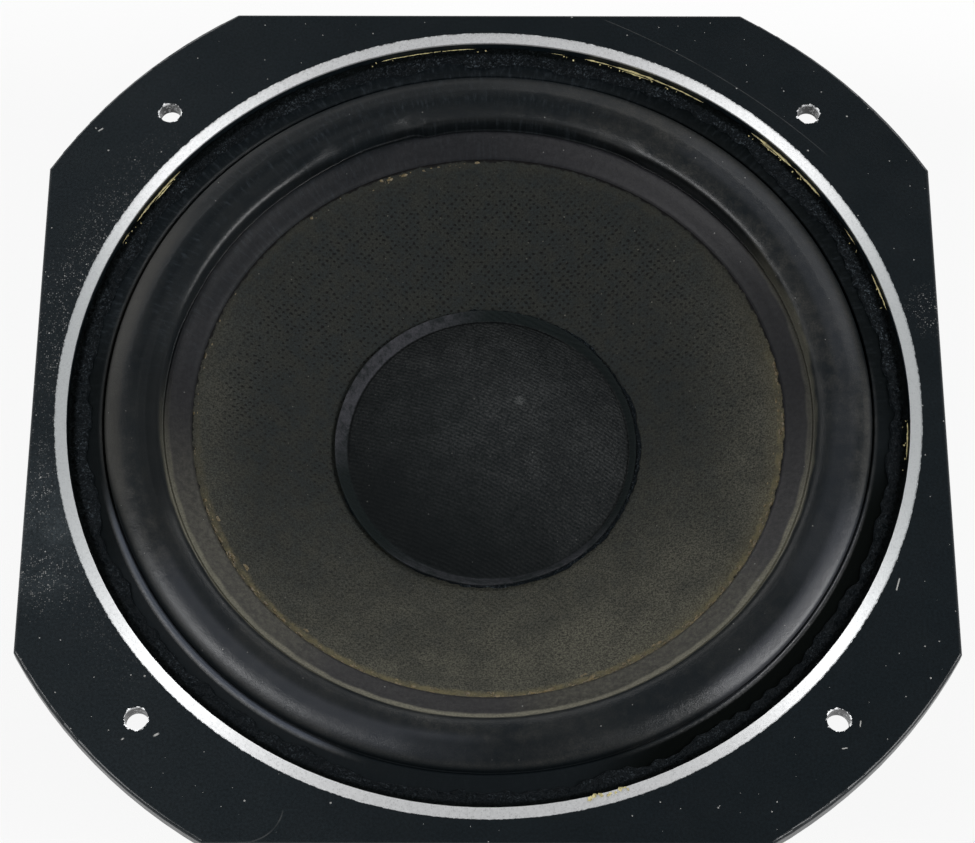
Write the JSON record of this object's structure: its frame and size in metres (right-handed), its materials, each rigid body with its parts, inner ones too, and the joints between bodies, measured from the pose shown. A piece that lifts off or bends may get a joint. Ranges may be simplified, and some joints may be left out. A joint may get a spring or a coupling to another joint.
{
  "type": "loudspeaker bass driver",
  "caption": "Bare bass driver with a square arc-cut face plate, half-roll surround, woven cone, domed dust cap and ferrite ring motor; the cone slides along its axis.",
  "frame": {"origin": "centre of the back plate's rear face, on which the driver stands", "axes": "+Z along the cone's axis out of its front; +X and +Y along the face plate's straight sides"},
  "size_m": [0.22, 0.22, 0.088],
  "materials": {
    "casting": "satin black paint on die-cast aluminium, with a bare turned ring round the recess",
    "surround_rubber": "satin black rubber",
    "adhesive": "rough black cured glue",
    "cone_weave": "dark olive-grey coated weave",
    "cap_weave": "fine black woven cloth",
    "spider_cloth": "resin-dipped tan cloth",
    "former_foil": "thin foil tube",
    "kraft_paper": "brown kraft paper",
    "copper": "enamelled copper wire",
    "motor_steel": "black-zinc plated steel",
    "ferrite": "sintered dark grey ferrite",
    "fastener_steel": "zinc plated steel",
    "phenolic": "brown phenolic paper board",
    "tinned_brass": "tinned brass",
    "lead_braid": "braided copper tinsel"
  },
  "bodies": {
    "frame": {"basket": "casting", "surround": "surround_rubber", "flange_adhesive": "adhesive", "spider": "spider_cloth", "top_plate": "motor_steel", "magnet": "ferrite", "back_plate": "motor_steel", "pole_piece": "motor_steel", "magnet_screws": "fastener_steel", "terminal_board": "phenolic", "terminal_tag_positive": "tinned_brass", "terminal_tag_negative": "tinned_brass", "terminal_rivets": "tinned_brass", "tinsel_lead_positive": "lead_braid", "tinsel_lead_negative": "lead_braid"},
    "diaphragm": {"cone": "cone_weave", "dust_cap": "cap_weave", "cap_adhesive": "adhesive", "voice_coil_former": "former_foil", "former_collar": "kraft_paper", "voice_coil_winding": "copper"}
  },
  "joints": [
    {"name": "cone_travel", "type": "slide", "parent": "frame", "child": "diaphragm", "axis": [0, 0, 1], "range_m": [-0.005, 0.005], "stiffness_N_per_m": 1200, "deforming": ["surround", "spider", "tinsel_lead_positive", "tinsel_lead_negative"]}
  ]
}
